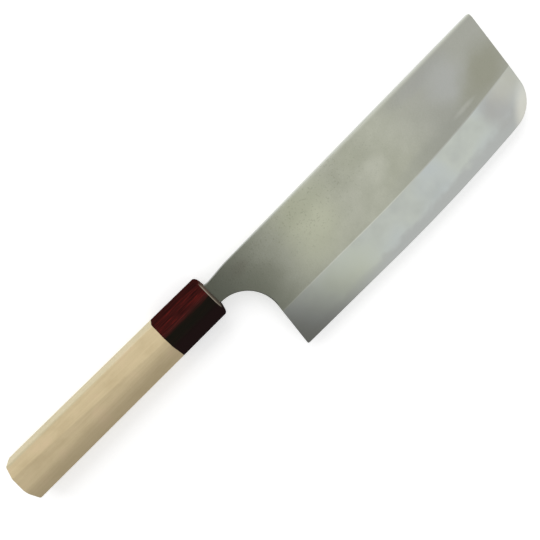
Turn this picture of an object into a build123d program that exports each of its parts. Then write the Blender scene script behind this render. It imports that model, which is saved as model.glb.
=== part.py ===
from build123d import *
import os

# Nakiri knife: a laminated kitchen blade in an eight-sided wooden handle.
# It lies on its left side. x runs from the butt to the front of the blade, y from the
# cutting edge to the spine, and z up out of the blade's right face.
# The origin is the middle of the handle's lower flat, on the surface that it lies on.
# Lengths are in millimetres. Places on the blade are counted from the front of the
# ferrule (x) and from the centre line of the handle (y and z).

# Handle and ferrule
handle_length = 125.4           # butt to the front of the ferrule
handle_height = 22.7            # spine side to edge side, over the flats
handle_thickness = 18.2         # left side to right side, over the flats
butt_bevel = 5.6                # height that each corner bevel takes off at the butt
mouth_bevel = 8.7               # the same at the front, where the bevels are wider
bevel_share = 0.745             # thickness that a bevel takes off, as a share of its height
ridge_radius = 0.7              # the hand-planed ridges are slightly soft
butt_rounding = 1.8
ferrule_length = 29.6
mouth_rounding = 0.8            # polished front edge of the ferrule
joint_rounding = 0.25

# Inside the handle
dowel_diameter = 12.4
glue_line = 0.1                 # round the dowel
dowel_end_room = 1.0            # air beyond the dowel's inner end
ferrule_wall = 6.0              # front wall of the ferrule, which the dowel butts against
slot_end = 5.0                  # solid end of the dowel beyond its sawn slot
bedding_gap = 0.35              # resin round the neck and the tang
bedding_recess = 0.6            # the resin stops just inside the mouth

# Blade, seen from the side
blade_length = 165.0            # heel to front
heel_setback = 15.8             # front of the ferrule to the heel's corner
neck_height = 11.3              # at the front of the ferrule
neck_length = 14.0              # front of the ferrule to where the spine starts
spine_start = 6.5               # spine above the centre line, at the end of the neck
spine_end = 9.6                 # spine above the centre line, at the front
neck_blend = 60.0
tip_corner = 1.0                # rounding of the spine's front corner
front_lean = 0.5                # how far the front slopes back down to the edge
edge_corner = 16.0              # rounding from the edge into the front
edge_depth = 52.8               # lowest part of the edge below the centre line
heel_lift = 0.4                 # the heel stands this much above the lowest part
edge_rise = 5.5                 # the edge curves up this much at the front
edge_flat_share = 0.4           # share of the blade's length where that curve starts
heel_corner = 0.8
notch_setback = 0.8             # centre of the finger notch in front of the ferrule
notch_depth_below = 25.0        # centre of the finger notch below the centre line
notch_length = 17.8             # half axes of the notch's ellipse
notch_turn = 6.6                # degrees that the notch runs on, into the sloping heel

# Blade, across its thickness
neck_thickness = 3.0
front_thickness = 2.0
tang_end_thickness = 1.8
core_thickness = 0.9
edge_thickness = 0.24
bevel_height = 22.0             # wide bevel, from the edge up to the ridge line
bevel_rise = 7.6                # the ridge line curves up this much at the front
bevel_flat_share = 0.36
bevel_station_shares = (-0.06, 0.36, 0.58, 0.8, 1.05)

# Tang
shoulder_depth = 5.0            # the neck's full height goes this far into the mouth
tang_length = 80.0
tang_height = 8.4
tang_end_height = 5.0
tang_corner = 1.2

# Cuts run this far past what they cut.
overrun = 3.0

# Places worked out from the sizes above
mouth_x = handle_length / 2
axis_height = handle_thickness / 2
joint_x = mouth_x - ferrule_length
front_x = heel_setback + blade_length
core_half = core_thickness / 2
neck_half = neck_height / 2
dowel_front = mouth_x - ferrule_wall
slot_length = tang_length + bedding_gap - ferrule_wall
dowel_length = slot_length + slot_end
dowel_back = dowel_front - dowel_length
slot_height = tang_height + 2 * bedding_gap
slot_width = neck_thickness + 2 * bedding_gap
mouth_height = neck_height + 2 * bedding_gap
notch_height = notch_depth_below - neck_half

# The blade lies in this plane, whose origin is the centre of the ferrule's front.
knife = Plane((mouth_x, 0, axis_height))
side = Plane((mouth_x, 0, axis_height), x_dir=(1, 0, 0), z_dir=(0, -1, 0))


def across(x):
    """A plane square to the knife's length, whose x is the knife's y."""
    return Plane((x, 0, axis_height), x_dir=(0, 1, 0), z_dir=(1, 0, 0))


def eight_sided(start_x, end_x):
    """A stretch of the handle, planed to eight flat sides."""
    half_height = handle_height / 2
    half_thickness = handle_thickness / 2
    with BuildPart() as blank:
        with BuildSketch(across(start_x)):
            Rectangle(handle_height, handle_thickness)
        extrude(amount=end_x - start_x)
        for spine_side in (1, -1):
            for right_side in (1, -1):
                top_y = spine_side * half_height
                side_z = axis_height + right_side * half_thickness
                butt_top = Vector(-mouth_x, top_y, side_z - right_side * butt_bevel * bevel_share)
                butt_side = Vector(-mouth_x, top_y - spine_side * butt_bevel, side_z)
                mouth_top = Vector(mouth_x, top_y, side_z - right_side * mouth_bevel * bevel_share)
                normal = (butt_side - butt_top).cross(mouth_top - butt_top).normalized()
                bevel = Plane(butt_top, z_dir=normal * spine_side * right_side)
                split(bisect_by=bevel, keep=Keep.BOTTOM)
    return blank.part


def curve_up(share, start_share, rise):
    """How far a line along the blade has curved up at a share of the blade's length."""
    run = max(share - start_share, 0) / (1 - start_share)
    return rise * run * run


# Outline of blade, neck and tang, seen from the right side
heel_x = heel_setback
heel_y = heel_lift - edge_depth
edge_turn_x = heel_setback + blade_length * edge_flat_share
with BuildSketch() as outline:
    with BuildLine() as contour:
        notch = EllipticalCenterArc(
            (notch_setback, -notch_depth_below),
            notch_length,
            notch_height,
            start_angle=-notch_turn,
            arc_size=90 + notch_turn,
        )
        heel = Line(notch @ 0, (heel_x, heel_y))
        edge = Line(heel @ 1, (edge_turn_x, -edge_depth))
        belly = TangentArc(edge @ 1, (front_x - front_lean, edge_rise - edge_depth), tangent=(1, 0))
        front = Line(belly @ 1, (front_x, spine_end))
        spine = Line(front @ 1, (neck_length, spine_start))
        Polyline(
            spine @ 1,
            (0, neck_half),
            (-shoulder_depth, neck_half),
            (-shoulder_depth, tang_height / 2),
            (-tang_length, tang_end_height / 2),
            (-tang_length, -tang_end_height / 2),
            (-shoulder_depth, -tang_height / 2),
            (-shoulder_depth, -neck_half),
            notch @ 1,
        )
    make_face()
    roundings = [
        ((front_x - front_lean, edge_rise - edge_depth), edge_corner),
        ((front_x, spine_end), tip_corner),
        ((neck_length, spine_start), neck_blend),
        ((heel_x, heel_y), heel_corner),
    ]
    for corner, radius in roundings:
        fillet(outline.vertices().sort_by_distance(corner)[0], radius)
    fillet(outline.vertices().group_by(Axis.X)[0], tang_corner)

# Thickness of the right half, seen from the edge: it thins to the front and to the tang's end
with BuildSketch() as right_half:
    with BuildLine():
        Polyline(
            (-tang_length - overrun, core_half),
            (front_x + overrun, core_half),
            (front_x + overrun, front_thickness / 2),
            (front_x, front_thickness / 2),
            (0, neck_thickness / 2),
            (-tang_length, tang_end_thickness / 2),
            (-tang_length - overrun, tang_end_thickness / 2),
            close=True,
        )
    make_face()

# What the grinding of the right bevel takes off
with BuildPart() as right_grind:
    for share in bevel_station_shares:
        station = heel_setback + blade_length * share
        ridge_y = bevel_height - edge_depth + curve_up(share, bevel_flat_share, bevel_rise)
        ridge_z = neck_thickness / 2 - (neck_thickness - front_thickness) / 2 * station / front_x
        edge_y = curve_up(share, edge_flat_share, edge_rise) - edge_depth
        edge_z = edge_thickness / 2
        slope = (ridge_z - edge_z) / (ridge_y - edge_y)
        with BuildSketch(across(mouth_x + station)):
            with BuildLine():
                Polyline(
                    (ridge_y + overrun, ridge_z + overrun * slope),
                    (edge_y, edge_z),
                    (edge_y - overrun, edge_z),
                    (edge_y - overrun, ridge_z + overrun),
                    (ridge_y + overrun, ridge_z + overrun),
                    close=True,
                )
            make_face()
    loft()

# Hard core steel: the middle layer, with the cutting edge and the middle of the tang
with BuildPart() as core_steel:
    with BuildSketch(knife.offset(-core_half)):
        add(outline.sketch)
    extrude(amount=core_thickness)
    add(right_grind.part, mode=Mode.SUBTRACT)
    mirror(right_grind.part, about=knife, mode=Mode.SUBTRACT)

# Soft cladding: the outer layers, ground away along the edge so that the core shows
with BuildPart() as right_cladding:
    with BuildSketch(knife.offset(core_half)):
        add(outline.sketch)
    extrude(amount=neck_thickness / 2)
    with BuildSketch(side):
        add(right_half.sketch)
    extrude(amount=edge_depth + overrun, both=True, mode=Mode.INTERSECT)
    add(right_grind.part, mode=Mode.SUBTRACT)

with BuildPart() as left_cladding:
    mirror(right_cladding.part, about=knife)

# Wooden handle: planed to eight sides, bored from the front for the dowel
handle_blank = eight_sided(-mouth_x, joint_x)
with BuildPart() as handle:
    add(handle_blank)
    fillet(handle.faces().sort_by(Axis.X)[0].edges(), butt_rounding)
    fillet(handle.edges().filter_by(lambda e: e.length > handle_length / 2), ridge_radius)
    with BuildSketch(across(joint_x)):
        Circle(dowel_diameter / 2 + glue_line)
    extrude(amount=dowel_back - dowel_end_room - joint_x, mode=Mode.SUBTRACT)

# Ferrule: the polished collar, with a slot in front for the neck and a bore behind
ferrule_blank = eight_sided(joint_x, mouth_x)
with BuildPart() as ferrule:
    add(ferrule_blank)
    fillet(ferrule.faces().sort_by(Axis.X)[-1].edges(), mouth_rounding)
    fillet(ferrule.edges().filter_by(lambda e: e.length > ferrule_length / 2), ridge_radius)
    fillet(ferrule.faces().sort_by(Axis.X)[0].edges(), joint_rounding)
    with BuildSketch(across(joint_x)):
        Circle(dowel_diameter / 2 + glue_line)
    extrude(amount=dowel_front - joint_x, mode=Mode.SUBTRACT)
    with BuildSketch(across(dowel_front)):
        Rectangle(mouth_height, slot_width)
    extrude(amount=ferrule_wall + overrun, mode=Mode.SUBTRACT)

# Dowel: joins ferrule and handle inside, and holds the tang in its sawn slot
with BuildPart() as dowel:
    with BuildSketch(across(dowel_back)):
        Circle(dowel_diameter / 2)
    extrude(amount=dowel_length)
    with BuildSketch(across(dowel_front)):
        Rectangle(slot_height, slot_width)
    extrude(amount=-slot_length, mode=Mode.SUBTRACT)

# Resin bedding: fills the mouth and the slot round the neck and the tang
with BuildPart() as tang_bedding:
    with BuildSketch(across(dowel_front)):
        Rectangle(mouth_height, slot_width)
    extrude(amount=ferrule_wall - bedding_recess)
    with BuildSketch(across(dowel_front)):
        Rectangle(slot_height, slot_width)
    extrude(amount=-slot_length)
    add(core_steel.part, mode=Mode.SUBTRACT)
    add(right_cladding.part, mode=Mode.SUBTRACT)
    add(left_cladding.part, mode=Mode.SUBTRACT)

pieces = {
    "core_steel": core_steel,
    "right_cladding": right_cladding,
    "left_cladding": left_cladding,
    "ferrule": ferrule,
    "handle": handle,
    "dowel": dowel,
    "tang_bedding": tang_bedding,
}
os.makedirs("parts", exist_ok=True)
for name, piece in pieces.items():
    piece.part.label = name
    export_step(piece.part, f"parts/{name}.step")
    print(name, f"{piece.part.volume:.0f} mm3,", len(piece.part.solids()), "solid")
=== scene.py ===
import logging
import math
from collections.abc import Callable, Iterable
from dataclasses import dataclass
from enum import Enum, IntEnum
from itertools import pairwise

import bmesh
import bpy
from bmesh.types import BMEdge, BMesh, BMFace, BMVert
from bpy.types import ID, Material, NodeSocket, NodeTree, Object
from mathutils import Matrix, Vector


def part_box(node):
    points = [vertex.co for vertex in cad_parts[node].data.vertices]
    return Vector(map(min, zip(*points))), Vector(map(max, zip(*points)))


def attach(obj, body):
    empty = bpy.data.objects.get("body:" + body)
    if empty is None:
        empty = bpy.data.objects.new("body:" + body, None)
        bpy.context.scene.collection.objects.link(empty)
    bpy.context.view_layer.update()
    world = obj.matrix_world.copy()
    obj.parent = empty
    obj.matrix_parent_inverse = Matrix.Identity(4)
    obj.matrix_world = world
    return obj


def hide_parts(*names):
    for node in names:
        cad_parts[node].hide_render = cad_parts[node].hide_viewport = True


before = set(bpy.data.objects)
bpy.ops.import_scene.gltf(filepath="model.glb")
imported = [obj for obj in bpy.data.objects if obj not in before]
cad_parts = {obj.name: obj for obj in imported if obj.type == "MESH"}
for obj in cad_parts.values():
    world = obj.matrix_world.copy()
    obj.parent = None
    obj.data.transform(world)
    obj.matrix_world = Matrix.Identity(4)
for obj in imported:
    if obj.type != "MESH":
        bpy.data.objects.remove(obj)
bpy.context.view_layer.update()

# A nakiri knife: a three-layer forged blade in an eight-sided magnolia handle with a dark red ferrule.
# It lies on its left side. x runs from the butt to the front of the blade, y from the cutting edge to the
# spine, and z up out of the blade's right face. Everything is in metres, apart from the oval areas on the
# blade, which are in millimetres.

Colour = tuple[float, float, float, float]
Pair = tuple[float, float]
Surface = tuple[NodeSocket, tuple[tuple[NodeSocket, float], ...]]       # a colour, and reliefs with depths

BODY = "root"
MM = 0.001
SAME = 0.001 * MM           # how far apart two points count as one for an operator
NEAR = 0.01 * MM            # and how far a point may lie off a line or a plane that it was put on
SIDES = 8                   # of the handle
LOG = logging.getLogger("nakiri_knife")


def linear(hex_colour: str) -> Colour:
    """Turns an sRGB hex colour into the linear one that a shader takes.

    Args:
        hex_colour: A colour such as "#c9bb9a".

    Returns:
        Red, green, blue and alpha, from 0 to 1.
    """
    parts = [int(hex_colour[i : i + 2], 16) / 255 for i in (1, 3, 5)]
    red, green, blue = (p / 12.92 if p <= 0.04045 else ((p + 0.055) / 1.055) ** 2.4 for p in parts)
    return red, green, blue, 1.0


WHITE = linear("#ffffff")


def per(size: float) -> float:
    """The scale of a texture whose features are this many metres wide."""
    return 1.0 / size


def add_node(tree: NodeTree, kind: str, output: str | int, inputs: dict, **settings: object) -> NodeSocket:
    """Adds a shader node with its settings, its input values and its links.

    Args:
        tree: The node tree.
        kind: The node's type, such as "TexNoise".
        output: The name or number of the output that is wanted.
        inputs: For each input, by name or number, a value or the socket that feeds it.
        **settings: The node's own properties.

    Returns:
        The wanted output.
    """
    node = tree.nodes.new("ShaderNode" + kind)
    for name, value in settings.items():
        setattr(node, name, value)
    for key, value in inputs.items():
        if isinstance(value, NodeSocket):
            tree.links.new(value, node.inputs[key])
        else:
            node.inputs[key].default_value = value
    return node.outputs[output]


def distance_from(tree: NodeTree, value: NodeSocket, middle: float) -> NodeSocket:
    """How far a value lies from a middle one, to either side."""
    off = add_node(tree, "Math", 0, {0: value, 1: middle}, operation="SUBTRACT")
    return add_node(tree, "Math", 0, {0: off}, operation="ABSOLUTE")


@dataclass(frozen=True)
class Grain:
    """A noise with features of a real length, along the knife, and a real width."""

    length: float
    width: float
    detail: float
    roughness: float = 0.5

    def drawn(self, tree: NodeTree, place: NodeSocket) -> NodeSocket:
        """Draws the noise.

        Args:
            tree: The material's node tree.
            place: The place on the object.

        Returns:
            Its value, from 0 to 1.
        """
        stretch = {"Vector": place, "Scale": (self.width / self.length, 1.0, 1.0)}
        drawn = {"Vector": add_node(tree, "Mapping", "Vector", stretch), "Scale": per(self.width)}
        detail = {"Detail": self.detail, "Roughness": self.roughness}
        return add_node(tree, "TexNoise", "Fac", drawn | detail)


@dataclass(frozen=True)
class Wash:
    """A colour laid over another where a value, such as a noise or a height, crosses some levels."""

    start: float                        # the level where it starts to show
    full: float                         # the level where it is full
    share: float | NodeSocket           # how much of it shows there
    colour: str
    is_soft: bool = False               # whether it starts and ends gently
    blend: str = "MIX"

    def over(self, tree: NodeTree, value: NodeSocket, ground: NodeSocket | Colour) -> NodeSocket:
        """Lays the colour over another.

        Args:
            tree: The node tree.
            value: The value that it follows.
            ground: The colour under it.

        Returns:
            The mixed colour.
        """
        ramp = {"Value": value, "From Min": self.start, "From Max": self.full, "To Max": self.share}
        ease = "SMOOTHSTEP" if self.is_soft else "LINEAR"
        share = add_node(tree, "MapRange", "Result", ramp, interpolation_type=ease)
        mixed = {0: share, 6: ground, 7: linear(self.colour)}       # these are the sockets that mix colours
        return add_node(tree, "Mix", 2, mixed, data_type="RGBA", blend_type=self.blend)


@dataclass(frozen=True)
class Oval:
    """An oval area of the blade, in millimetres in the knife's frame."""

    centre: Pair
    reach: Pair                         # half its length and half its width
    turn: float                         # degrees, anticlockwise from the blade's length

    def away(self, tree: NodeTree, place: NodeSocket) -> NodeSocket:
        """Measures how far out a place lies.

        Args:
            tree: The material's node tree.
            place: The place on the object.

        Returns:
            0 in the middle of the oval, 1 on its rim and more outside.
        """
        frame_of_oval = {
            "Vector": place,
            "Location": (self.centre[0] * MM, self.centre[1] * MM, 0.0),
            "Rotation": (0.0, 0.0, math.radians(self.turn)),
            "Scale": (self.reach[0] * MM, self.reach[1] * MM, 1.0),
        }
        inside = add_node(tree, "Mapping", "Vector", frame_of_oval, vector_type="TEXTURE")
        return add_node(tree, "VectorMath", "Value", {0: inside}, operation="LENGTH")


@dataclass(frozen=True)
class Patch(Oval):
    """A soft oval patch of another colour on the blade."""

    colour: str
    strength: float
    is_ragged: bool = True


@dataclass(frozen=True)
class Finish:
    """A surface finish, which makes its material the first time that it is asked for."""

    name: str
    roughness: float = 0.5
    metallic: float = 0.0
    gloss: float = 0.5

    def material(self) -> Material:
        """Gives the finish's material.

        Returns:
            The same material each time.
        """
        if self.name in bpy.data.materials:
            return bpy.data.materials[self.name]
        material = bpy.data.materials.new(self.name)
        material.use_nodes = True
        tree = material.node_tree
        shader = tree.nodes["Principled BSDF"]
        shader.inputs["Metallic"].default_value = self.metallic
        shader.inputs["Roughness"].default_value = self.roughness
        shader.inputs["Specular IOR Level"].default_value = self.gloss
        colour, relief = self.dress(tree, add_node(tree, "TexCoord", "Object", {}))
        tree.links.new(colour, shader.inputs["Base Color"])
        below = {}
        for height, depth in relief:
            bump = {"Height": height, "Distance": depth, "Strength": 1.0}
            below = {"Normal": add_node(tree, "Bump", "Normal", bump | below)}
            tree.links.new(below["Normal"], shader.inputs["Normal"])
        return material

    def dress(self, tree: NodeTree, place: NodeSocket) -> Surface:
        """Adds the nodes of the finish.

        Args:
            tree: The material's node tree.
            place: The place on the object, in metres.

        Returns:
            The colour, and each relief with its depth in metres, from the lowest to the topmost.
        """
        raise NotImplementedError


@dataclass(frozen=True)
class BladeFinish(Finish):
    """A finish of the blade, darker towards the handle from patina and painted dark reflection, with patches
    here and there.
    """

    metallic: float = 1.0
    # darkening towards the handle: patina and painted dark reflection
    patina_and_shade: str = "#727569"
    dark_x: float = 62 * MM
    clear_x: float = 122 * MM
    lean: float = 0.0                   # how much further the patina and painted dark reflection reach per metre towards the edge
    lean_from: float = -30 * MM
    patches: tuple[Patch, ...] = ()
    patch_core: float = 0.2             # the share of a patch where it is at full strength
    ragged: float = 7 * MM              # how far the patches' outlines wander
    rags: Grain = Grain(11 * MM, 11 * MM, 3.0)

    def aged_and_shaded(self, tree: NodeTree, place: NodeSocket, clean: NodeSocket) -> NodeSocket:
        """Lays the patches, and the patina with painted dark reflection, over a clean colour.

        Args:
            tree: The material's node tree.
            place: The place on the object.
            clean: The clean colour.

        Returns:
            The colour with its patches, patina and painted dark reflection.
        """
        wander = self.rags.drawn(tree, place).node.outputs["Color"]
        pushed = {0: wander, 1: (self.ragged,) * 3, 2: place}
        wandered = add_node(tree, "VectorMath", "Vector", pushed, operation="MULTIPLY_ADD")
        centred = {0: wandered, 1: (self.ragged / 2,) * 3}
        ragged = add_node(tree, "VectorMath", "Vector", centred, operation="SUBTRACT")
        colour = clean
        for patch in self.patches:
            wash = Wash(1.0, self.patch_core, patch.strength, patch.colour, is_soft=True)
            colour = wash.over(tree, patch.away(tree, ragged if patch.is_ragged else place), colour)
        leaning = {0: place, 1: (1.0, self.lean, 0.0)}
        along = add_node(tree, "VectorMath", "Value", leaning, operation="DOT_PRODUCT")
        shift = self.lean * self.lean_from
        # darker towards the handle: patina and painted dark reflection
        patina_and_shade = Wash(self.clear_x + shift, self.dark_x + shift, 1.0, self.patina_and_shade, is_soft=True)
        return patina_and_shade.over(tree, along, colour)


@dataclass(frozen=True)
class PearSkinIron(BladeFinish):
    """Soft iron left rough from forging and etched: a grey-olive skin, faintly mottled and finely pitted."""

    name: str = "pear_skin_iron"
    clear_x: float = 118 * MM
    patches: tuple[Patch, ...] = (
        Patch((79, 0), (8, 5), 0, "#8c7f72", 0.4),  # brown on the neck
        Patch((192, -26.5), (48, 9), 5, "#979990", 0.45),  # dull above the ridge
        Patch((205, -18), (14, 10), 0, "#979990", 0.25),
        Patch((203, 4.5), (28, 6), 0, "#a6a7a5", 0.35),  # dull below the spine
        Patch((214, -6), (17, 15), 0, "#b6b8b6", 0.6),  # bluish towards the front
        Patch((232, -16), (26, 16), 20, "#93937f", 0.6),  # olive at the front
        Patch((120, -6), (23, 30), 0, "#cbceb5", 0.6),  # pale in the middle
        Patch((157, -13), (15, 9), 0, "#d6d8cb", 0.25),
        Patch((109, -22), (15, 12), 0, "#c9ccb6", 0.3),
        Patch((124, 0.5), (24, 9), 0, "#9fa28c", 0.3),  # a dull cloud over the pale
        Patch((153, 0), (9, 10), 0, "#9fa28c", 0.25),
        Patch((85, -14), (14, 14), 0, "#747762", 0.22),  # dull by the heel
        Patch((213, -22.2), (10, 1.8), 4, "#c4c5bd", 0.35, is_ragged=False),  # a short bright scratch
        Patch((178, 9.2), (122, 3.2), 1.06, "#dfe1d6", 0.8, is_ragged=False),  # painted highlight along the spine
    )
    dark: str = "#b3b5a5"
    mottle: Grain = Grain(15 * MM, 15 * MM, 3.0)
    light: Wash = Wash(0.35, 0.65, 1.0, "#bfc1b2")
    front: Wash = Wash(168 * MM, 205 * MM, 0.8, "#acada6", is_soft=True)    # painted shade, greyer towards the front
    skin: Grain = Grain(0.9 * MM, 0.9 * MM, 4.0, 0.7)       # twice the real size, which is too fine to show
    speck: Wash = Wash(0.6, 0.38, 0.14, "#7b7b6a")
    skin_depth: float = 0.015 * MM
    pits: Grain = Grain(0.9 * MM, 0.9 * MM, 1.0)
    pit_level: float = 0.62             # of the noise; the higher, the fewer pits
    pit_rim: float = 0.06               # how far above that level a pit is at its darkest
    pit_depth: float = 0.03 * MM
    pit: str = "#a0a090"                # how dark a pit makes what is round it
    fleck: str = "#d2d3c6"              # between the pits
    rough: Oval = Oval((124, 0), (46, 17), 0)           # where the pits are thickest
    rough_levels: Pair = (1.6, 0.4)     # how far out they are fewest, and how far out thickest
    pit_shares: Pair = (0.08, 0.26)     # how much they show there

    def dress(self, tree: NodeTree, place: NodeSocket) -> Surface:
        """Lays mottle, fine skin and flecks under the patina and painted dark reflection, and scattered pits
        over it.

        Args:
            tree: The material's node tree.
            place: The place on the object.

        Returns:
            The colour, and the relief of skin and pits.
        """
        skin, pits = self.skin.drawn(tree, place), self.pits.drawn(tree, place)
        ground = self.light.over(tree, self.mottle.drawn(tree, place), linear(self.dark))
        ground = self.front.over(tree, add_node(tree, "SeparateXYZ", "X", {0: place}), ground)
        ground = self.speck.over(tree, skin, ground)
        (far, close), (few, many) = self.rough_levels, self.pit_shares
        spread = {"Value": self.rough.away(tree, place), "From Min": far, "From Max": close}
        shown = add_node(tree, "MapRange", "Result", spread | {"To Min": few, "To Max": many})
        level, rim = self.pit_level, self.pit_rim
        ground = Wash(1 - level, 1 - level - rim, shown, self.fleck).over(tree, pits, ground)
        aged_and_shaded = self.aged_and_shaded(tree, place, ground)
        pitted = Wash(level, level + rim, shown, self.pit, blend="MULTIPLY").over(tree, pits, aged_and_shaded)
        return pitted, ((skin, self.skin_depth), (pits, self.pit_depth))


@dataclass(frozen=True)
class StonedBevel(BladeFinish):
    """The wide bevel, stoned across iron and steel: cloudy bluish white, softly greyer on the hard core."""

    name: str = "stoned_bevel"
    roughness: float = 0.36
    # dark by the heel: patina and painted dark reflection
    patina_and_shade: str = "#70716c"
    lean: float = 0.8
    patches: tuple[Patch, ...] = (
        Patch((116, -40), (34, 18), 0, "#bdc2ae", 0.6),  # warm by the heel
        Patch((226, -34), (14, 15), 0, "#a8a7a3", 0.7),  # a grey band before the front
        Patch((236, -28), (14, 14), 0, "#bebdb1", 0.6),  # warm at the front
        Patch((237, -43.5), (19, 7), 50, "#dad9ce", 0.75, is_ragged=False),  # pale round the corner
    )
    iron: str = "#bfc4bc"
    clouds: Grain = Grain(13 * MM, 13 * MM, 2.0)
    cloudy: Wash = Wash(0.55, 0.3, 0.7, "#b0b4af")
    wide_clouds: Grain = Grain(26 * MM, 26 * MM, 1.0)
    bluish: Wash = Wash(0.45, 0.65, 0.6, "#b9c0c4")
    steel: str = "#b1b4b1"
    middle_z: float = 0.0               # of the blade
    core_half: float = 0.45 * MM
    fade: float = 0.10 * MM             # in thickness; along the bevel it is some twenty times as much
    drop: float = 0.05 * MM             # the grey starts this far inside the core
    wavers: Grain = Grain(6 * MM, 6 * MM, 2.0)
    waver_levels: Pair = (0.3, 0.7)
    wave: float = 0.06 * MM             # how far the core's border wavers
    marks: Grain = Grain(9 * MM, 0.5 * MM, 3.0)
    mark_depth: float = 0.003 * MM

    def dress(self, tree: NodeTree, place: NodeSocket) -> Surface:
        """Adds clouds, the soft border of the core, the stones' marks and the darker heel, which is patina
        and painted dark reflection.

        Args:
            tree: The material's node tree.
            place: The place on the object.

        Returns:
            The colour, and the relief of the marks.
        """
        ground = self.cloudy.over(tree, self.clouds.drawn(tree, place), linear(self.iron))
        ground = self.bluish.over(tree, self.wide_clouds.drawn(tree, place), ground)
        depth = distance_from(tree, add_node(tree, "SeparateXYZ", "Z", {0: place}), self.middle_z)
        low, high = self.waver_levels
        wavers = {"Value": self.wavers.drawn(tree, place), "From Min": low, "From Max": high}
        shift = add_node(tree, "MapRange", "Result", wavers | {"To Min": -self.wave, "To Max": self.wave})
        border = add_node(tree, "Math", 0, {0: depth, 1: shift}, operation="ADD")
        middle = self.core_half - self.drop
        core = Wash(middle + self.fade, middle - self.fade, 1.0, self.steel, is_soft=True)
        layered = core.over(tree, border, ground)
        return self.aged_and_shaded(tree, place, layered), ((self.marks.drawn(tree, place), self.mark_depth),)


@dataclass(frozen=True)
class BurnishedIronAndHighlight(BladeFinish):
    """Iron rubbed bright by hand on the spine's face and the eased edges, with a painted highlight as a hair
    line along the ridge.
    """

    name: str = "burnished_iron_and_highlight"
    roughness: float = 0.4
    patches: tuple[Patch, ...] = (
        Patch((205, -24), (60, 16), 3, "#a9aaa3", 0.9, is_ragged=False),  # duller along the ridge, where the painted highlight fades
    )
    dark: str = "#c2c5ba"
    streaks: Grain = Grain(7 * MM, 0.6 * MM, 3.0)
    light: Wash = Wash(0.0, 1.0, 1.0, "#cfd2c8")

    def dress(self, tree: NodeTree, place: NodeSocket) -> Surface:
        """Adds short streaks along the blade.

        Args:
            tree: The material's node tree.
            place: The place on the object.

        Returns:
            The colour, and no relief.
        """
        streaked = self.light.over(tree, self.streaks.drawn(tree, place), linear(self.dark))
        return self.aged_and_shaded(tree, place, streaked), ()


@dataclass(frozen=True)
class PlanedWood(Finish):
    """Bare planed wood: long faint growth lines, short pores, and slow drifts of colour."""

    name: str = "planed_magnolia"
    roughness: float = 0.62
    dark: str = "#cab790"
    lines: Grain = Grain(60 * MM, 1.3 * MM, 3.0, 0.6)
    light: Wash = Wash(0.3, 0.7, 1.0, "#d3c19a")
    drift: Grain = Grain(18 * MM, 9 * MM, 3.0, 0.6)
    flush: Wash = Wash(0.52, 0.75, 0.6, "#dac09e")      # pinkish patches
    shade: Wash = Wash(0.5, 0.25, 0.55, "#b9a57e")      # greener, darker ones
    spine_sheen: Wash = Wash(9.8 * MM, 10.8 * MM, 0.6, "#c2bc9e", is_soft=True)    # painted sheen on the flat along the spine
    belly_shade: Wash = Wash(1.0 * MM, -11.0 * MM, 0.45, "#a5926b", is_soft=True)   # painted shade along the belly
    fibres: Grain = Grain(2.4 * MM, 0.3 * MM, 2.0)
    pores: Wash = Wash(0.62, 0.74, 0.35, "#bca77f")
    pore_depth: float = 0.012 * MM

    def dress(self, tree: NodeTree, place: NodeSocket) -> Surface:
        """Adds growth lines, drifts of colour, painted sheen along the spine, painted shade along the belly,
        and pores.

        Args:
            tree: The material's node tree.
            place: The place on the object.

        Returns:
            The colour, and the relief of the pores.
        """
        across = add_node(tree, "SeparateXYZ", "Y", {0: place})
        drift, fibres = self.drift.drawn(tree, place), self.fibres.drawn(tree, place)
        colour = self.light.over(tree, self.lines.drawn(tree, place), linear(self.dark))
        colour = self.shade.over(tree, drift, self.flush.over(tree, drift, colour))
        colour = self.belly_shade.over(tree, across, self.spine_sheen.over(tree, across, colour))
        return self.pores.over(tree, fibres, colour), ((fibres, self.pore_depth),)


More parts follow.
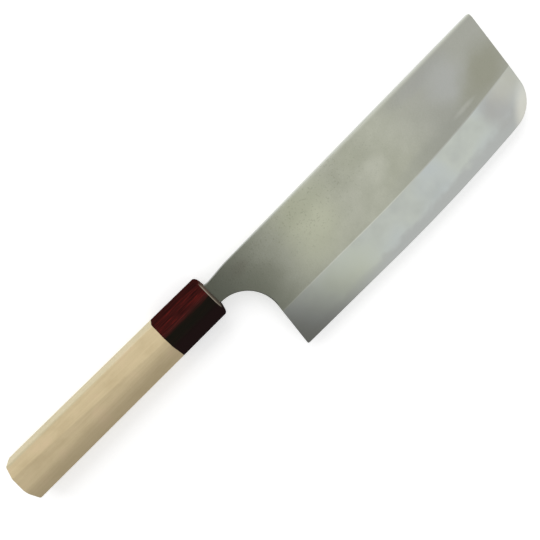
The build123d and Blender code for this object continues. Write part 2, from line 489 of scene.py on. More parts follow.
@dataclass(frozen=True)
class DyedRedWood(Finish):
    """Dyed wood rubbed smooth: deep red with bright fibres by the spine, and near black towards the belly
    from painted dark reflection and painted shade.
    """

    name: str = "dyed_red_wood"
    roughness: float = 0.25
    gloss: float = 0.0                  # the photo shows no gleam on it
    ground: str = "#3d1715"
    fibres: Grain = Grain(9 * MM, 0.4 * MM, 3.0, 0.6)
    deep: Wash = Wash(0.5, 0.34, 1.0, "#220f0e")
    bright: Wash = Wash(0.54, 0.68, 1.0, "#5e1c19")
    painted_light_bands: tuple[Wash, ...] = (
        Wash(9.0 * MM, 10.2 * MM, 0.5, "#220f0e", is_soft=True),        # painted dark reflection on the flat along the spine
        Wash(5.0 * MM, 3.6 * MM, 0.15, "#4d2f2c", is_soft=True),        # painted highlight on the ridge below it
        Wash(4.0 * MM, 1.5 * MM, 0.92, "#161813", is_soft=True),        # painted dark reflection on the side flat
        Wash(-1.5 * MM, -5.0 * MM, 0.9, "#251919", is_soft=True),       # painted shade on the flat along the belly
    )
    rim_highlight: Wash = Wash(0.0, 1.0, 1.0, "#958b7c")       # painted highlight on the front rim
    rim_x: float = 0.0
    rim_half: float = 0.25 * MM
    rim_core: float = 0.7               # the share of the rim's width where the painted highlight is full
    rim_middle: float = 1.2 * MM
    rim_ends: Pair = (8.14 * MM, 5.92 * MM)     # from its middle, where it ends and where it starts to fade
    mouth_reflection: float = 0.35            # how much painted reflection the mouth shows in front of the rim

    def dress(self, tree: NodeTree, place: NodeSocket) -> Surface:
        """Adds red and dark fibres along the grain, painted dark reflection and shade on the flats, and
        painted highlights on the ridge and the mouth's rim.

        Args:
            tree: The material's node tree.
            place: The place on the object.

        Returns:
            The colour, and no relief.
        """
        along = add_node(tree, "SeparateXYZ", "X", {0: place})
        across = add_node(tree, "SeparateXYZ", "Y", {0: place})
        fibres = self.fibres.drawn(tree, place)
        colour = self.bright.over(tree, fibres, self.deep.over(tree, fibres, linear(self.ground)))
        for band in self.painted_light_bands:
            colour = band.over(tree, across, colour)
        past_rim = add_node(tree, "Math", 0, {0: along, 1: self.rim_x}, operation="SUBTRACT")
        mouth = {"Value": past_rim, "From Max": self.rim_half, "To Max": self.mouth_reflection}
        rim = {
            "Value": distance_from(tree, along, self.rim_x),
            "From Min": self.rim_half,
            "From Max": self.rim_core * self.rim_half,
            "To Min": add_node(tree, "MapRange", "Result", mouth),
        }
        end, fade = self.rim_ends
        beside = {"Value": distance_from(tree, across, self.rim_middle), "From Min": end, "From Max": fade}
        # the share of the painted highlight on the rim, and of the painted reflection on the mouth in front
        # of it
        worn = {0: add_node(tree, "MapRange", "Result", rim), 1: add_node(tree, "MapRange", "Result", beside)}
        return self.rim_highlight.over(tree, add_node(tree, "Math", 0, worn, operation="MULTIPLY"), colour), ()


@dataclass(frozen=True)
class CuredResin(Finish):
    """Cured bedding resin: dark, dull, with dust caught in its skin."""

    name: str = "cured_resin"
    roughness: float = 0.45
    dark: str = "#1d1a18"
    dust: Grain = Grain(0.6 * MM, 0.6 * MM, 3.0)
    light: Wash = Wash(0.0, 1.0, 1.0, "#3a3630")
    skin_depth: float = 0.03 * MM

    def dress(self, tree: NodeTree, place: NodeSocket) -> Surface:
        """Adds the uneven skin.

        Args:
            tree: The material's node tree.
            place: The place on the object.

        Returns:
            The colour, and its relief.
        """
        dust = self.dust.drawn(tree, place)
        return self.light.over(tree, dust, linear(self.dark)), ((dust, self.skin_depth),)


class Slot(Enum):
    """The record's material slots."""

    CORE = "core_steel"
    CLADDING = "cladding_iron"
    FERRULE = "ferrule_wood"
    HANDLE = "handle_wood"


class End(IntEnum):
    """The two ends of a stretch of the handle, as signs along the knife."""

    BLADE = 1
    BUTT = -1


class Zone(IntEnum):
    """The zones of the blade's iron, as its material numbers."""

    FLAT = 0
    BEVEL = 1
    RUBBED = 2


class Layout:
    """The knife's main sizes and places, read from the boxes of the CAD nodes."""

    def __init__(self) -> None:
        """Reads the boxes."""
        wood_low, wood_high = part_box("handle")
        dowel_low, dowel_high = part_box("dowel")
        core_low, core_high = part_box("core_steel")
        self.butt_x, self.joint_x, self.mouth_x = wood_low.x, wood_high.x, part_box("ferrule")[1].x
        self.height, self.thickness = wood_high.y - wood_low.y, wood_high.z - wood_low.z
        self.axis_z = (wood_low.z + wood_high.z) / 2
        self.dowel_back, self.dowel_front = dowel_low.x, dowel_high.x
        self.dowel_radius = (dowel_high.y - dowel_low.y) / 2
        self.tang_back, self.front_x = core_low.x, core_high.x
        self.edge_y, self.spine_y = core_low.y, core_high.y
        self.core_half = (core_high.z - core_low.z) / 2


def verts_in(made: Iterable[object]) -> list[BMVert]:
    """The vertices among what an operator made."""
    return [item for item in made if isinstance(item, BMVert)]


def all_of(bm: BMesh) -> list[BMVert | BMEdge | BMFace]:
    """Everything in a mesh."""
    return bm.verts[:] + bm.edges[:] + bm.faces[:]


def end_face(bm: BMesh, end: End) -> BMFace:
    """The face that lies furthest towards one end."""
    return max(bm.faces, key=lambda face: end * face.calc_center_median().x)


def cut(bm: BMesh, geom: Iterable[object], point: Vector, normal: Vector, **kept: bool) -> None:
    """Cuts a mesh along a plane.

    Args:
        bm: The mesh.
        geom: The part of it that is cut.
        point: A point of the plane.
        normal: The plane's normal.
        **kept: Which side is cleared away, if any.
    """
    bmesh.ops.bisect_plane(bm, geom=geom, dist=SAME, plane_co=point, plane_no=normal, **kept)


def soften(
    bm: BMesh, geom: Iterable[object], width: float, steps: int, material: int = -1, affect: str = "EDGES"
) -> None:
    """Rounds edges or corners over.

    Args:
        bm: The mesh.
        geom: What is rounded; edges that are gone by now are passed over.
        width: How far the rounding reaches to each side.
        steps: The number of its facets.
        material: Its material number, or -1 for that of its neighbours.
        affect: "EDGES" or "VERTICES".
    """
    geom = [item for item in geom if item.is_valid]
    shape = {"offset": width, "offset_type": "OFFSET", "segments": steps, "profile": 0.5}
    bmesh.ops.bevel(bm, geom=geom, affect=affect, material=material, **shape)


def put(name: str, data: ID) -> Object:
    """Puts a new object into the scene.

    Args:
        name: The object's name.
        data: Its mesh, lamp or camera.

    Returns:
        The object.
    """
    item = bpy.data.objects.new(name, data)
    bpy.context.scene.collection.objects.link(item)
    return item


def put_mesh(name: str, bm: BMesh, materials: Iterable[Material]) -> Object:
    """Puts a finished mesh into the scene.

    Args:
        name: The object's name.
        bm: The mesh, in place; it is freed.
        materials: Its materials, in the order of the faces' numbers.

    Returns:
        The object.
    """
    mesh = bpy.data.meshes.new(name)
    bm.to_mesh(mesh)
    bm.free()
    for material in materials:
        mesh.materials.append(material)
    return put(name, mesh)


def new_piece(bm: BMesh, name: str, node: str, finishes: Iterable[Finish], crease: float) -> None:
    """Makes a finished mesh into a piece that rides on the knife and stands for its CAD node.

    Args:
        bm: The mesh, in place; it is freed.
        name: The piece's name.
        node: The CAD node that it stands for.
        finishes: Its finishes, in the order of the faces' material numbers.
        crease: The angle from which an edge is sharp.
    """
    bmesh.ops.recalc_face_normals(bm, faces=bm.faces)
    for face in bm.faces:
        face.smooth = True
    for edge in bm.edges:
        edge.smooth = edge.calc_face_angle(0.0) < crease
    piece = put_mesh(name, bm, [finish.material() for finish in finishes])
    piece.modifiers.new("flat_faces_stay_flat", "WEIGHTED_NORMAL").keep_sharp = True
    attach(piece, BODY)
    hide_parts(node)
    LOG.info("%s: %d faces, stands for %s", name, len(piece.data.polygons), node)


@dataclass(frozen=True)
class Section:
    """An eight-sided cross section, given by how far each bevel reaches down the side and in from it."""

    right_spine: Pair
    right_edge: Pair
    left: Pair                          # both bevels of the unseen side
    drop: float = 0.0                   # of the right ridge by the spine, below the spine's flat
    inset: float = 0.0                  # of the flats by the spine and the belly, where the handle tapers

    def corners(self, height: float, thickness: float, axis_z: float) -> list[Pair]:
        """The corners, from the right ridge by the spine round by the right side.

        Args:
            height: The handle's height.
            thickness: Its thickness.
            axis_z: The height of its axis above the table.

        Returns:
            The y and z of the eight corners.
        """
        top, right, left = height / 2 - self.inset, axis_z + thickness / 2, axis_z - thickness / 2
        return [
            (top - self.drop, right - self.right_spine[1]),
            (top - self.right_spine[0], right),
            (self.right_edge[0] - top, right),
            (-top, right - self.right_edge[1]),
            (-top, left + self.left[1]),
            (self.left[0] - top, left),
            (top - self.left[0], left),
            (top, left + self.left[1]),
        ]


@dataclass
class EightSidedHandle:
    """The grip: a wooden handle planed to eight sides, with a dyed wooden ferrule in front."""

    layout: Layout
    butt_section: Section = Section((5.4 * MM, 3.4 * MM), (7.6 * MM, 4.4 * MM), (5.8 * MM, 4.0 * MM))
    joint_section: Section = Section(
        (9.6 * MM, 2.6 * MM), (8.8 * MM, 4.8 * MM), (8.0 * MM, 4.6 * MM), drop=0.7 * MM, inset=0.35 * MM
    )
    ferrule_section: Section = Section(
        (8.0 * MM, 3.4 * MM), (8.0 * MM, 4.8 * MM), (8.0 * MM, 4.8 * MM), inset=0.35 * MM
    )
    mouth_section: Section = Section(
        (7.9 * MM, 3.4 * MM), (7.9 * MM, 4.8 * MM), (7.9 * MM, 4.8 * MM), inset=0.55 * MM
    )
    wood_ridge_radius: float = 1.2 * MM
    worn_ridge_radius: float = 5.0 * MM     # of the ridge by the belly, where the hand has worn it
    worn_corner: int = 2                    # that ridge's number in a section
    ferrule_ridge_radius: float = 0.7 * MM
    ridge_steps: int = 4
    butt_easing: float = 0.7 * MM
    butt_bulge: float = 1.1 * MM            # how far the butt's dome stands out past the solid's flat end
    dome_radii: Pair = (36 * MM, 60 * MM)   # seen from the side, and from above
    dome_top: Pair = (-2.1 * MM, -4.0 * MM)                 # its highest point, from the handle's axis
    dome_rings: tuple[float, ...] = (0.8, 0.75, 0.66, 0.5)  # each ring's size, as a share of the last one's
    mouth_rounding: float = 2.1 * MM
    mouth_insets: Pair = (4.4 * MM, 1.3 * MM)
    rim_setback: float = 0.75 * MM          # of the rim's painted highlight, behind the mouth
    joint_rounding: float = 0.25 * MM
    rounding_steps: int = 8
    glue_line: float = 0.1 * MM             # round the dowel
    end_room: float = 1.0 * MM              # behind the dowel
    slot_size: Pair = (12.0 * MM, 3.7 * MM)
    slot_sides: int = 4
    bore_sides: int = 64
    crease: float = math.radians(30)
    wood: Finish = PlanedWood()

    def planed(
        self, ends: Pair, sections: tuple[Section, Section], radius: float, worn_radius: float
    ) -> BMesh:
        """Planes a stretch of the handle to eight sides, with its ridges softened.

        Args:
            ends: Where it starts and ends along the knife.
            sections: Its cross sections there.
            radius: The radius of the softened ridges.
            worn_radius: The radius of the right ridge by the belly.

        Returns:
            A closed mesh.
        """
        plan = self.layout
        first, last = (
            [Vector((x, *corner)) for corner in section.corners(plan.height, plan.thickness, plan.axis_z)]
            for x, section in zip(ends, sections)
        )
        bm = bmesh.new()
        ring = bmesh.ops.create_circle(bm, cap_ends=True, segments=SIDES, radius=1.0)["verts"]
        for vert, corner in zip(ring, first):
            bmesh.ops.translate(bm, vec=corner - vert.co, verts=[vert])
        for vert in verts_in(bmesh.ops.extrude_face_region(bm, geom=bm.faces[:])["geom"]):
            number = min(range(SIDES), key=lambda corner: (first[corner] - vert.co).length)
            bmesh.ops.translate(bm, vec=last[number] - vert.co, verts=[vert])
        ridges = [edge for edge in bm.edges if edge.calc_length() > (ends[1] - ends[0]) / 2]
        worn_from = first[self.worn_corner]
        worn = min(ridges, key=lambda edge: sum((vert.co - worn_from).length for vert in edge.verts))
        ridges.remove(worn)
        for edges, rounding in (([worn], worn_radius), (ridges, radius)):
            soften(bm, edges, rounding * math.tan(math.pi / SIDES), self.ridge_steps)
        return bm

    def step_in(self, bm: BMesh, face: BMFace, reach: float, shares: Pair) -> BMFace:
        """Carries the face of an end on by one ring.

        Args:
            bm: The planed stretch.
            face: The end's face.
            reach: How far it moves along the knife.
            shares: What is left of its height and of its thickness.

        Returns:
            The new face.
        """
        made = bmesh.ops.extrude_face_region(bm, geom=[face])["geom"]
        bmesh.ops.delete(bm, geom=[face], context="FACES_ONLY")
        verts = verts_in(made)
        bmesh.ops.translate(bm, vec=(reach, 0, 0), verts=verts)
        axis = Matrix.Translation((0, 0, -self.layout.axis_z))
        bmesh.ops.scale(bm, vec=(1, *shares), space=axis, verts=verts)
        return next(item for item in made if isinstance(item, BMFace))

    def round_over(self, bm: BMesh, end: End, length: float, insets: Pair) -> BMFace:
        """Rounds one end over along a quarter oval.

        Args:
            bm: The planed stretch, one rounding short at this end.
            end: The end.
            length: How long the rounding is.
            insets: How far in it reaches from spine and belly, and from the two sides.

        Returns:
            The face that is left at the end.
        """
        halves = self.layout.height / 2, self.layout.thickness / 2
        face = end_face(bm, end)
        angles = [math.pi / 2 * step / self.rounding_steps for step in range(self.rounding_steps + 1)]
        for before, after in pairwise(angles):
            reach = end * length * (math.sin(after) - math.sin(before))
            height_share, thickness_share = (
                (half - inset * (1 - math.cos(after))) / (half - inset * (1 - math.cos(before)))
                for half, inset in zip(halves, insets)
            )
            face = self.step_in(bm, face, reach, (height_share, thickness_share))
        return face

    def dome(self, bm: BMesh, face: BMFace, start: float) -> None:
        """Sands the butt to a shallow dome, which falls back from its top to its eased edge.

        Args:
            bm: The wood, with its butt still flat.
            face: The butt's face.
            start: Where the easing of its edge starts.
        """
        for share in self.dome_rings:
            face = self.step_in(bm, face, 0.0, (share, share))
        for vert in bm.verts:
            if vert.co.x < start + NEAR:
                away = vert.co.y - self.dome_top[0], vert.co.z - self.layout.axis_z - self.dome_top[1]
                vert.co.x += sum(reach * reach / (2 * radius) for reach, radius in zip(away, self.dome_radii))

    def opening(self, bm: BMesh, end: End, sides: int, size: Pair, depth: float) -> list[BMEdge]:
        """Opens a hole in one end and carries its wall inwards.

        Args:
            bm: The closed mesh.
            end: The end.
            sides: How many sides the hole has.
            size: The hole's height and width.
            depth: How deep it goes.

        Returns:
            The edges of the wall's inner end, which is left open.
        """
        face = end_face(bm, end)
        outer = face.edges[:]
        place = Vector((face.calc_center_median().x, 0, self.layout.axis_z))
        bmesh.ops.delete(bm, geom=[face], context="FACES_ONLY")
        turn = Matrix.Rotation(math.pi / sides, 4, "X") @ Matrix.Rotation(math.pi / 2, 4, "Y")
        radius = 1 / math.cos(math.pi / sides) / 2
        verts = bmesh.ops.create_circle(bm, segments=sides, radius=radius, matrix=turn)["verts"]
        bmesh.ops.scale(bm, vec=(1, *size), verts=verts)
        bmesh.ops.translate(bm, vec=place, verts=verts)
        rim = list({edge for vert in verts for edge in vert.link_edges})
        bmesh.ops.triangle_fill(bm, edges=outer + rim)
        wall = bmesh.ops.extrude_edge_only(bm, edges=rim)["geom"]
        bmesh.ops.translate(bm, vec=(-end * depth, 0, 0), verts=verts_in(wall))
        return [item for item in wall if isinstance(item, BMEdge) and item.is_boundary]

    def build_wood(self) -> BMesh:
        """Makes the wooden handle: rounded at the butt, bored from the front for the dowel.

        Returns:
            A closed mesh.
        """
        plan, easing = self.layout, self.butt_easing
        start = plan.butt_x - self.butt_bulge + easing
        sections = self.butt_section, self.joint_section
        bm = self.planed((start, plan.joint_x), sections, self.wood_ridge_radius, self.worn_ridge_radius)
        self.dome(bm, self.round_over(bm, End.BUTT, easing, (easing, easing)), start)
        depth = plan.joint_x - plan.dowel_back + self.end_room
        inner = self.opening(bm, End.BLADE, self.bore_sides, self.bore_size(), depth)
        bmesh.ops.contextual_create(bm, geom=inner)
        return bm

    def bore_size(self) -> Pair:
        """The height and width of the bores for the dowel."""
        bore = 2 * (self.layout.dowel_radius + self.glue_line)
        return bore, bore

    def build_ferrule(self) -> BMesh:
        """Makes the ferrule: rounded at both ends, slotted in front for the neck and bored behind.

        Returns:
            A mesh with one way right through it.
        """
        plan, radius, rounding = self.layout, self.ferrule_ridge_radius, self.joint_rounding
        ends = plan.joint_x + rounding, plan.mouth_x - self.mouth_rounding
        bm = self.planed(ends, (self.ferrule_section, self.mouth_section), radius, radius)
        self.round_over(bm, End.BUTT, rounding, (rounding, rounding))
        self.round_over(bm, End.BLADE, self.mouth_rounding, self.mouth_insets)
        slot_depth, bore_depth = plan.mouth_x - plan.dowel_front, plan.dowel_front - plan.joint_x
        slot = self.opening(bm, End.BLADE, self.slot_sides, self.slot_size, slot_depth)
        bore = self.opening(bm, End.BUTT, self.bore_sides, self.bore_size(), bore_depth)
        bmesh.ops.triangle_fill(bm, edges=slot + bore)
        return bm

    def dress(self) -> None:
        """Makes the handle's two pieces."""
        dyed = DyedRedWood(rim_x=self.layout.mouth_x - self.rim_setback)
        new_piece(self.build_wood(), "planed_handle", "handle", [self.wood], self.crease)
        new_piece(self.build_ferrule(), "red_ferrule", "ferrule", [dyed], self.crease)


class Pen:
    """Draws an outline as a chain of edges, each made by extruding the last vertex."""

    def __init__(self, bm: BMesh, start: Pair) -> None:
        """Puts the pen down in a mesh, at the first point."""
        self.bm = bm
        self.first = self.tip = bm.verts.new((*start, 0))

    def line_to(self, *points: Pair) -> None:
        """Draws straight lines.

        Args:
            *points: Where they lead, one after the other.
        """
        for x, y in points:
            self.tip = bmesh.ops.extrude_vert_indiv(self.bm, verts=[self.tip])["verts"][0]
            bmesh.ops.translate(self.bm, vec=Vector((x, y, 0)) - self.tip.co, verts=[self.tip])

    def turn_about(self, centre: Pair, angle: float, steps: int) -> None:
        """Draws an arc.

        Args:
            centre: The arc's centre.
            angle: How far it turns, anticlockwise where it is positive.
            steps: The number of its facets.
        """
        turn = {"cent": (*centre, 0), "axis": (0, 0, 1), "dvec": (0, 0, 0), "angle": angle, "steps": steps}
        self.tip = verts_in(bmesh.ops.spin(self.bm, geom=[self.tip], **turn)["geom_last"])[0]

    def close(self) -> None:
        """Joins the last point to the first and fills the outline."""
        self.bm.edges.new((self.tip, self.first))
        bmesh.ops.contextual_create(self.bm, geom=self.bm.edges[:])


@dataclass
class ForgedBlade:
    """The blade: hard steel between two layers of soft iron, ground to a wide bevel on each side.

    Its own x is counted from the front of the ferrule, y from the handle's middle line and z from its middle
    plane.
    """

    layout: Layout
    heel_setback: float = 15.8 * MM             # of the heel, from the ferrule
    neck_height: float = 11.3 * MM
    neck_length: float = 14.0 * MM              # up to where the straight spine starts
    spine_start: float = 6.3 * MM               # its height there
    neck_dip: Pair = (2.4 * MM, 0.45 * MM)      # how far from the ferrule, and how deep
    neck_drop: float = 0.35 * MM                # of the neck's lower side, in front of the ferrule
    neck_blend: float = 60 * MM                 # the radius between neck and spine
    dip_blend: float = 6 * MM
    tip_corner: float = 1.0 * MM                # the radius at the spine's front end
    front_lean: float = 0.5 * MM                # how far the front falls back towards the edge
    edge_corner: float = 16 * MM                # the radius at the edge's front end
    heel_lift: float = 0.4 * MM
    edge_rise: float = 5.5 * MM                 # of the edge, up to the front
    edge_flat_share: float = 0.4
    heel_corner: float = 0.8 * MM
    notch_setback: float = 0.8 * MM             # of the finger notch, from the ferrule
    notch_depth_below: float = 25 * MM          # its arc's centre, below the handle's middle line
    notch_length: float = 17.8 * MM             # its arc's reach along the blade
    notch_turn: float = math.radians(6.6)       # its arc goes this far past a quarter
    neck_thickness: float = 3.0 * MM
    front_thickness: float = 2.0 * MM
    tang_end_thickness: float = 1.8 * MM
    edge_thickness: float = 0.24 * MM
    bevel_height: float = 22 * MM
    bevel_rise: float = 7.6 * MM                # of the ridge above it, up to the front
    bevel_flat_share: float = 0.36
    shoulder_depth: float = 5.0 * MM            # of the tang's shoulders, inside the ferrule
    tang_height: float = 8.4 * MM
    tang_end_height: float = 5.0 * MM
    tang_corner: float = 1.2 * MM
    station_gap: float = 2.5 * MM               # between the cuts across the blade
    bevel_rows: int = 8                         # of faces between edge and ridge
    easing: float = 0.45 * MM                   # of the rim that the hand touches
    easing_steps: int = 2
    ridge_line_width: float = 0.6 * MM
    arc_gap: float = 0.9 * MM                   # the facets of an arc are about this long
    fewest_steps: int = 3                       # of a rounded corner
    crease: float = math.radians(12)
    rim_crease: float = math.radians(45)        # a rim sharper than this is eased,
    rim_above: float = 1.0 * MM                 # from this far above the ridge
    wall_slope: float = 0.5                     # a wall's normal points out of the blade less than this
    end_slope: float = 0.99                     # and an end's points along the blade more than this

    def __post_init__(self) -> None:
        """Works out the blade's places from the frame."""
        self.front = self.layout.front_x - self.layout.mouth_x
        self.tang_back = self.layout.tang_back - self.layout.mouth_x
        self.length = self.front - self.heel_setback
        self.lowest = self.layout.edge_y
        count = math.ceil(self.front / self.station_gap) + 1
        self.stations = [self.station_gap * number for number in range(count)]

    def curve_up(self, x: float, start_share: float, rise: float) -> float:
        """How far a line along the blade has curved up.

        Args:
            x: The place along the blade.
            start_share: The share of the blade's length where the curve starts.
            rise: How far it has risen at the front.

        Returns:
            The height above the line's straight part.
        """
        share = (x - self.heel_setback) / self.length
        run = max(share - start_share, 0.0) / (1 - start_share)
        return rise * run * run

    def edge_line(self, x: float) -> float:
        """The height of the cutting edge."""
        return self.lowest + self.curve_up(x, self.edge_flat_share, self.edge_rise)

    def ridge_line(self, x: float) -> float:
        """The height of the ridge between the blade's flat and its wide bevel."""
        return self.lowest + self.bevel_height + self.curve_up(x, self.bevel_flat_share, self.bevel_rise)

    def bevel_line(self, share: float) -> Callable[[float], float]:
        """A line along the bevel, at a share of the way from the edge to the ridge."""
        return lambda x: self.edge_line(x) + share * (self.ridge_line(x) - self.edge_line(x))

    def over_ridge(self, vert: BMVert) -> float:
        """How far a vertex lies above the ridge line."""
        return vert.co.y - self.ridge_line(vert.co.x)

    def half_thickness(self, x: float, y: float) -> float:
        """Half the blade's thickness at a place on it.

        Args:
            x: The place along the blade.
            y: The height of the place.

        Returns:
            The distance from the middle plane to the right face.
        """
        neck, edge = self.neck_thickness / 2, self.edge_thickness / 2
        if x < 0:
            return neck + (self.tang_end_thickness / 2 - neck) * x / self.tang_back
        flat = neck + (self.front_thickness / 2 - neck) * x / self.front
        height_share = (y - self.edge_line(x)) / (self.ridge_line(x) - self.edge_line(x))
        return min(flat, edge + (flat - edge) * max(height_share, 0.0))

    def outline(self, bm: BMesh) -> None:
        """Draws the blade, its neck and its tang, seen from the right side.

        Args:
            bm: The mesh to draw in.
        """
        neck = self.neck_height / 2
        pen = Pen(bm, (self.notch_setback, self.notch_length - self.notch_depth_below))
        angle = math.pi / 2 + self.notch_turn
        steps = round(angle * self.notch_length / self.arc_gap)
        pen.turn_about((self.notch_setback, -self.notch_depth_below), -angle, steps)
        stretch = (self.notch_depth_below - neck - self.neck_drop) / self.notch_length
        to_centre = Matrix.Translation((0, self.notch_depth_below, 0))
        bmesh.ops.scale(bm, vec=(1, stretch, 1), space=to_centre, verts=bm.verts)
        heel = (self.heel_setback, self.lowest + self.heel_lift)
        turn_x = self.heel_setback + self.length * self.edge_flat_share
        pen.line_to(heel, (turn_x, self.lowest))
        run = self.front - self.front_lean - turn_x
        radius = (run * run + self.edge_rise * self.edge_rise) / (2 * self.edge_rise)
        steps = math.floor(run / (self.edge_corner + self.arc_gap))
        pen.turn_about((turn_x, self.lowest + radius), math.asin(run / radius), steps)
        low_front = pen.tip.co.xy
        high_front = (self.front, self.layout.spine_y)
        spine_start = (self.neck_length, self.spine_start)
        dip = (self.neck_dip[0], neck - self.neck_dip[1])
        shoulder, tang, tang_end = -self.shoulder_depth, self.tang_height / 2, self.tang_end_height / 2
        tang_ends = (self.tang_back, tang_end), (self.tang_back, -tang_end)
        pen.line_to(high_front, spine_start, dip, (0, neck), (shoulder, neck), (shoulder, tang))
        pen.line_to(*tang_ends, (shoulder, -tang), (shoulder, -neck), (0, -neck))
        pen.close()
        self.round_corner(bm, low_front, self.edge_corner)
        self.round_corner(bm, high_front, self.tip_corner)
        self.round_corner(bm, spine_start, self.neck_blend)
        self.round_corner(bm, dip, self.dip_blend)
        self.round_corner(bm, heel, self.heel_corner)
        for corner in tang_ends:
            self.round_corner(bm, corner, self.tang_corner)

    def round_corner(self, bm: BMesh, corner: Pair, radius: float) -> None:
        """Rounds one corner of the outline.

        Args:
            bm: The mesh with the outline.
            corner: The corner's place.
            radius: The rounding's radius.
        """
        vert = min(bm.verts, key=lambda v: (v.co - Vector((*corner, 0))).length)
        ways = [edge.other_vert(vert).co - vert.co for edge in vert.link_edges]
        turn = math.pi - ways[0].angle(ways[1])
        steps = max(self.fewest_steps, round(turn * radius / self.arc_gap))
        soften(bm, [vert], radius * math.tan(turn / 2), steps, affect="VERTICES")

    def score(self, bm: BMesh, line: Callable[[float], float]) -> None:
        """Cuts the blade's faces along a line, one strip between two stations at a time.

        Args:
            bm: The blade, already cut at its stations.
            line: The line's height at each place along the blade.
        """
        strips: dict[int, list[BMFace]] = {}
        for face in bm.faces:
            middle = face.calc_center_median().x
            if abs(face.normal.x) < self.end_slope and self.stations[0] < middle < self.stations[-1]:
                strips.setdefault(int((middle - self.stations[0]) / self.station_gap), []).append(face)
        for number, faces in strips.items():
            start, end = (Vector((x, line(x), 0)) for x in self.stations[number : number + 2])
            edges = {edge for face in faces for edge in face.edges}
            verts = {vert for face in faces for vert in face.verts}
            cut(bm, [*verts, *edges, *faces], start, (end - start).cross(Vector((0, 0, 1))))

    def half_blank(self) -> BMesh:
        """Forges and grinds the blade's right half, from its middle plane to its right face.

        Returns:
            A closed mesh, before it is split into layers.
        """
        bm = bmesh.new()
        self.outline(bm)
        top = verts_in(bmesh.ops.extrude_face_region(bm, geom=bm.faces[:])["geom"])
        bmesh.ops.translate(bm, vec=(0, 0, self.neck_thickness / 2), verts=top)
        for station in self.stations:
            cut(bm, all_of(bm), (station, 0, 0), (1, 0, 0))
        for row in range(1, self.bevel_rows + 1):
            self.score(bm, self.bevel_line(row / self.bevel_rows))
        for vert in bm.verts:
            if vert.co.z > 0:
                vert.co.z = self.half_thickness(vert.co.x, vert.co.y)
        return bm

    def split(self, bm: BMesh, keep_outer: bool) -> None:
        """Cuts the half blank along the face of the core and keeps one layer.

        Args:
            bm: The half blank.
            keep_outer: True for the iron layer, False for the half of the core.
        """
        face_of_core = (0, 0, self.layout.core_half), (0, 0, 1)
        cut(bm, all_of(bm), *face_of_core, clear_inner=keep_outer, clear_outer=not keep_outer)
        bmesh.ops.contextual_create(bm, geom=[edge for edge in bm.edges if edge.is_boundary])

    def place(self, bm: BMesh) -> None:
        """Moves a finished layer from the blade's own frame to its place in the knife."""
        bmesh.ops.translate(bm, vec=(self.layout.mouth_x, 0, self.layout.axis_z), verts=bm.verts)

    def build_iron(self, side: int) -> BMesh:
        """Makes one layer of soft iron.

        Args:
            side: 1 for the right layer, -1 for the left.

        Returns:
            A closed mesh, whose walls are rubbed and whose ridge carries a painted highlight.
        """
        bm = self.half_blank()
        self.split(bm, keep_outer=True)
        bm.normal_update()
        for face in bm.faces:
            middle = face.calc_center_median()
            is_bevel = middle.x > self.heel_setback and middle.y < self.ridge_line(middle.x)
            is_wall = middle.x > 0 and abs(face.normal.z) < self.wall_slope
            face.material_index = Zone.RUBBED if is_wall else Zone.BEVEL if is_bevel else Zone.FLAT
        core = self.layout.core_half
        outer = [edge for edge in bm.edges if all(v.co.z > core + NEAR for v in edge.verts)]
        ridge = [edge for edge in outer if all(abs(self.over_ridge(v)) < NEAR for v in edge.verts)]
        sharp = [edge for edge in outer if edge.calc_face_angle(0.0) > self.rim_crease]
        rim = [edge for edge in sharp if all(self.is_on_rim(v) for v in edge.verts)]
        # the ridge's strip carries a painted highlight
        soften(bm, ridge, self.ridge_line_width / 2, self.easing_steps, Zone.RUBBED)
        soften(bm, rim, self.easing, self.easing_steps, Zone.RUBBED)
        if side < 0:
            bmesh.ops.scale(bm, vec=(1, 1, -1), verts=bm.verts)
        self.place(bm)
        return bm

    def is_on_rim(self, vert: BMVert) -> bool:
        """Whether a vertex of the blade's outline lies where the hand touches it: on neck, notch or spine."""
        return vert.co.x > -NEAR and (vert.co.x < self.heel_setback or self.over_ridge(vert) > self.rim_above)

    def build_core(self) -> BMesh:
        """Makes the core: the half layer under the iron, mirrored to the other side.

        Returns:
            A closed mesh.
        """
        bm = self.half_blank()
        self.split(bm, keep_outer=False)
        middle = [face for face in bm.faces if all(abs(v.co.z) < SAME for v in face.verts)]
        bmesh.ops.delete(bm, geom=middle, context="FACES")
        bmesh.ops.mirror(bm, geom=all_of(bm), merge_dist=SAME, axis="Z")
        self.place(bm)
        return bm

    def dress(self) -> None:
        """Makes the blade's three pieces."""
        stoned = StonedBevel(middle_z=self.layout.axis_z, core_half=self.layout.core_half)
        finishes = {Zone.FLAT: PearSkinIron(), Zone.BEVEL: stoned, Zone.RUBBED: BurnishedIronAndHighlight()}
        iron = [finishes[zone] for zone in Zone]
        for side, name, node in ((1, "right_iron", "right_cladding"), (-1, "left_iron", "left_cladding")):
            new_piece(self.build_iron(side), name, node, iron, self.crease)
        new_piece(self.build_core(), "hard_steel", "core_steel", [stoned], self.crease)


@dataclass
class HiddenSeat:
    """What holds the tang inside: a softwood dowel with a sawn slot, and the resin round the tang."""

    dowel: Finish = PlanedWood(
        name="turned_softwood",
        roughness=0.7,
        dark="#b28d5c",
        light=Wash(0.3, 0.7, 1.0, "#c9a877"),
        shade=Wash(0.5, 0.25, 0.55, "#a5824f"),
    )
    resin: Finish = CuredResin()

    def dress(self) -> None:
        """Gives the two CAD nodes their finishes."""
        for node, finish in (("dowel", self.dowel), ("tang_bedding", self.resin)):
            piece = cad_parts[node]
            piece.data.materials.clear()
            piece.data.materials.append(finish.material())
            LOG.info("%s: dressed in %s", node, finish.name)


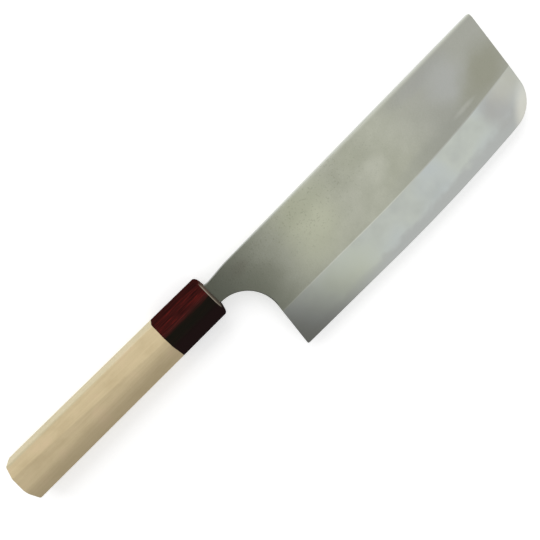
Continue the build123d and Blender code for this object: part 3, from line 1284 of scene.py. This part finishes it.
@dataclass
class Studio:
    """A pale floor, a soft lamp and the camera."""

    aim: tuple[float, float, float] = (90.34 * MM, -11.12 * MM, 12.07 * MM)
    distance: float = 333.5 * MM
    roll: float = math.radians(14.5)        # about the knife's length, towards its spine
    pitch: float = math.radians(-0.89)      # along the knife, towards its butt
    turn: float = math.radians(44.66)       # of the knife in the picture, anticlockwise
    lens_mm: float = 46.667
    sensor_mm: float = 36.0
    floor_radius: float = 3.0
    floor_sides: int = 96
    floor_white: str = "#f4f4f4"
    floor_lift: float = 0.4                 # added where the paper is seen, so that it is white
    room_light: float = 0.6
    lamp_azimuth: float = math.radians(88)  # from +x towards +y
    lamp_elevation: float = math.radians(30)
    lamp_distance: float = 1.3
    lamp_size: float = 1.3
    lamp_power: float = 10.5
    card_black: str = "#181818"
    card_front: float = 10 * MM
    card_size: Pair = (1.2, 2.6)
    card_height: float = 0.4

    def build_camera(self) -> None:
        """Places the camera above the right face, with the knife on the picture's diagonal."""
        data = bpy.data.cameras.new("camera")
        data.lens = self.lens_mm
        data.sensor_width = self.sensor_mm
        camera = put("camera", data)
        lean = Matrix.Rotation(-self.roll, 3, "X") @ Matrix.Rotation(self.pitch, 3, "Y")
        right = lean @ Vector((math.cos(self.turn), -math.sin(self.turn), 0))
        up = lean @ Vector((math.sin(self.turn), math.cos(self.turn), 0))
        back = right.cross(up)
        turned = Matrix((right, up, back)).transposed().to_4x4()
        camera.matrix_world = Matrix.Translation(Vector(self.aim) + back * self.distance) @ turned
        bpy.context.scene.camera = camera

    def stage_sheet(self, name: str, bm: BMesh, colour: str) -> Object:
        """Puts a dull sheet of the studio in the scene.

        Args:
            name: Its name, and that of its material.
            bm: Its mesh, which is freed.
            colour: Its colour.

        Returns:
            The sheet.
        """
        material = bpy.data.materials.new(name)
        material.use_nodes = True
        shader = material.node_tree.nodes["Principled BSDF"]
        shader.inputs["Base Color"].default_value = linear(colour)
        shader.inputs["Roughness"].default_value = 1.0
        sheet = put_mesh(name, bm, [material])
        return sheet

    def build_floor(self) -> None:
        """Lays round white paper under the knife. It keeps the knife's shadow."""
        bm = bmesh.new()
        bmesh.ops.create_circle(bm, cap_ends=True, segments=self.floor_sides, radius=self.floor_radius)
        tree = self.stage_sheet("white_paper", bm, self.floor_white).active_material.node_tree
        shader = tree.nodes["Principled BSDF"]
        shader.inputs["Specular IOR Level"].default_value = 0.0
        shader.inputs["Emission Color"].default_value = WHITE
        lift = add_node(tree, "Math", 0, {0: self.seen(tree), 1: self.floor_lift}, operation="MULTIPLY")
        tree.links.new(lift, shader.inputs["Emission Strength"])

    def seen(self, tree: NodeTree) -> NodeSocket:
        """Marks the rays that see a background: those of the camera, of gloss and of glass.

        Args:
            tree: The node tree of the background.

        Returns:
            1 for such a ray, 0 for one that only carries light.
        """
        seen = add_node(tree, "LightPath", "Is Camera Ray", {})
        rays = seen.node.outputs
        for ray in ("Is Glossy Ray", "Is Transmission Ray"):
            seen = add_node(tree, "Math", 0, {0: seen, 1: rays[ray]}, operation="MAXIMUM")
        return seen

    def build_card(self) -> None:
        """Hangs a dark card over the handle, which only the gloss sees, like a camera's stand."""
        width, depth = self.card_size
        bm = bmesh.new()
        bmesh.ops.create_grid(bm, x_segments=1, y_segments=1, size=0.5)
        bmesh.ops.scale(bm, vec=(width, depth, 1), verts=bm.verts)
        bmesh.ops.translate(bm, vec=(self.card_front - width / 2, 0, self.card_height), verts=bm.verts)
        card = self.stage_sheet("dark_card", bm, self.card_black)
        card.visible_camera = card.visible_diffuse = card.visible_shadow = card.visible_transmission = False

    def build_lamp(self) -> None:
        """Hangs a softbox that faces the middle of the knife."""
        data = bpy.data.lights.new("window_lamp", "AREA")
        data.size = self.lamp_size
        data.energy = self.lamp_power
        level = Vector((math.cos(self.lamp_azimuth), math.sin(self.lamp_azimuth), 0))
        out = level * math.cos(self.lamp_elevation) + Vector((0, 0, math.sin(self.lamp_elevation)))
        lamp = put("window_lamp", data)
        facing = out.to_track_quat("Z", "Y").to_matrix().to_4x4()
        lamp.matrix_world = Matrix.Translation(Vector(self.aim) + out * self.lamp_distance) @ facing
        lamp.visible_glossy = False

    def build_world(self) -> None:
        """Surrounds the knife with even light, which the camera and the gloss see as white."""
        world = bpy.data.worlds.new("white_room")
        world.use_nodes = True
        tree = world.node_tree
        levels = {"Value": self.seen(tree), "To Min": self.room_light, "To Max": 1.0}
        background = tree.nodes["Background"]
        background.inputs["Color"].default_value = WHITE
        tree.links.new(add_node(tree, "MapRange", "Result", levels), background.inputs["Strength"])
        bpy.context.scene.world = world

    def build(self) -> None:
        """Sets up the whole studio."""
        self.build_camera()
        self.build_floor()
        self.build_card()
        self.build_lamp()
        self.build_world()
        bpy.context.scene.view_settings.view_transform = "Standard"


def main() -> None:
    """Builds the studio and the knife, in order."""
    logging.basicConfig(level=logging.INFO, format="%(name)s: %(message)s")
    Studio().build()
    layout = Layout()
    ForgedBlade(layout).dress()
    EightSidedHandle(layout).dress()
    HiddenSeat().dress()


if __name__ == "__main__":
    main()
